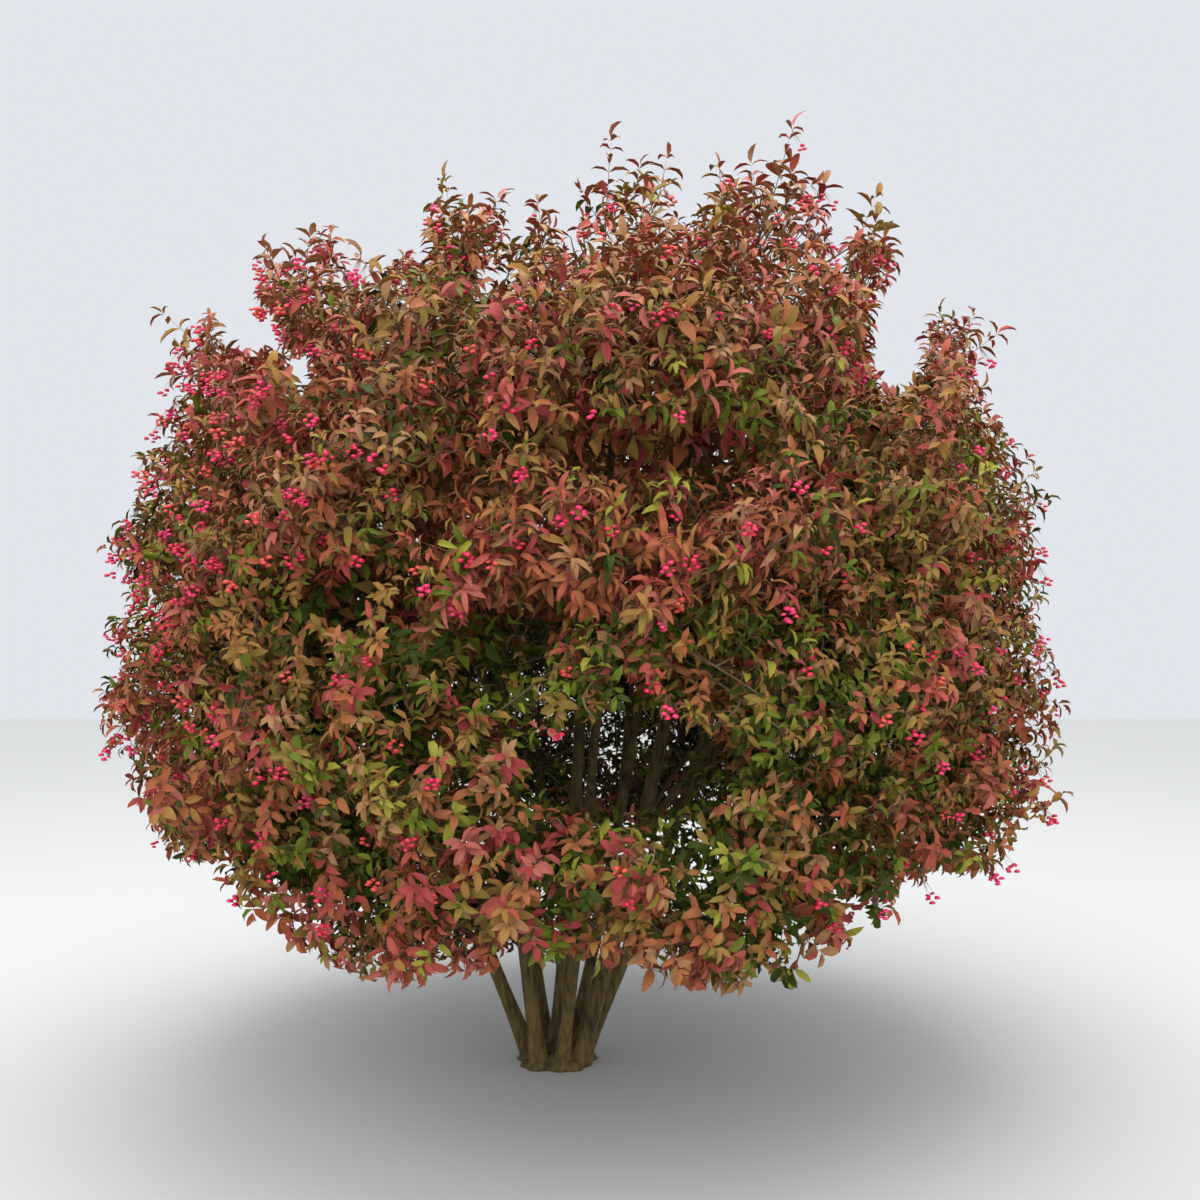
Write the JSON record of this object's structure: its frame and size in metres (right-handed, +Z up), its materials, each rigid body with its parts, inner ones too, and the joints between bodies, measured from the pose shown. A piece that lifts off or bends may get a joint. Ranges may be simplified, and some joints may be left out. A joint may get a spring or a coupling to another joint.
{
  "type": "european spindle shrub",
  "caption": "Autumn spindle shrub: several stems rise from one root collar and carry a broad dome of arching red and bronze sprays with hanging pink lobed fruits.",
  "frame": {"origin": "middle of the flat cut under the root collar, at ground level", "axes": "+Z up, +X to the right of a viewer who faces the shrub's front, +Y away from that viewer"},
  "size_m": [3.054, 2.9727, 3.1886],
  "materials": {
    "bark": "matt olive-brown bark with fine upright furrows",
    "bronze_foliage": "matt bronze-olive autumn leaves",
    "russet_foliage": "matt russet-red autumn leaves",
    "rose_foliage": "matt dusty rose autumn leaves"
  },
  "bodies": {
    "root": {"bough_hem_back": "bark", "bough_hem_back_right": "bark", "bough_hem_front": "bark", "bough_hem_front_right": "bark", "bough_hem_left_back": "bark", "bough_hem_left_front": "bark", "bough_hem_right": "bark", "bough_shoulder_back": "bark", "bough_shoulder_back_right": "bark", "bough_shoulder_front_left": "bark", "bough_shoulder_front_right": "bark", "bough_shoulder_left": "bark", "bough_shoulder_left_back": "bark", "bough_shoulder_right": "bark", "bough_waist_back": "bark", "bough_waist_back_left": "bark", "bough_waist_front": "bark", "bough_waist_front_left": "bark", "bough_waist_left": "bark", "bough_waist_right_back": "bark", "bough_waist_right_front": "bark", "foliage_hem_back": "rose_foliage", "foliage_hem_back_right": "rose_foliage", "foliage_hem_front": "rose_foliage", "foliage_hem_front_right": "rose_foliage", "foliage_hem_left_back": "rose_foliage", "foliage_hem_left_front": "rose_foliage", "foliage_hem_right": "rose_foliage", "foliage_shoulder_back": "bronze_foliage", "foliage_shoulder_back_right": "bronze_foliage", "foliage_shoulder_front_left": "bronze_foliage", "foliage_shoulder_front_right": "bronze_foliage", "foliage_shoulder_left": "bronze_foliage", "foliage_shoulder_left_back": "bronze_foliage", "foliage_shoulder_right": "bronze_foliage", "foliage_top_back_left": "bronze_foliage", "foliage_top_back_right": "bronze_foliage", "foliage_top_centre": "bronze_foliage", "foliage_top_front": "bronze_foliage", "foliage_top_front_left": "bronze_foliage", "foliage_top_front_right": "bronze_foliage", "foliage_top_left": "bronze_foliage", "foliage_top_right": "bronze_foliage", "foliage_waist_back": "russet_foliage", "foliage_waist_back_left": "russet_foliage", "foliage_waist_front": "russet_foliage", "foliage_waist_front_left": "russet_foliage", "foliage_waist_left": "russet_foliage", "foliage_waist_right_back": "russet_foliage", "foliage_waist_right_front": "russet_foliage", "root_collar": "bark", "stem_back_left": "bark", "stem_back_right": "bark", "stem_centre": "bark", "stem_front": "bark", "stem_front_left": "bark", "stem_front_right": "bark", "stem_left": "bark", "stem_right": "bark"}
  },
  "joints": []
}
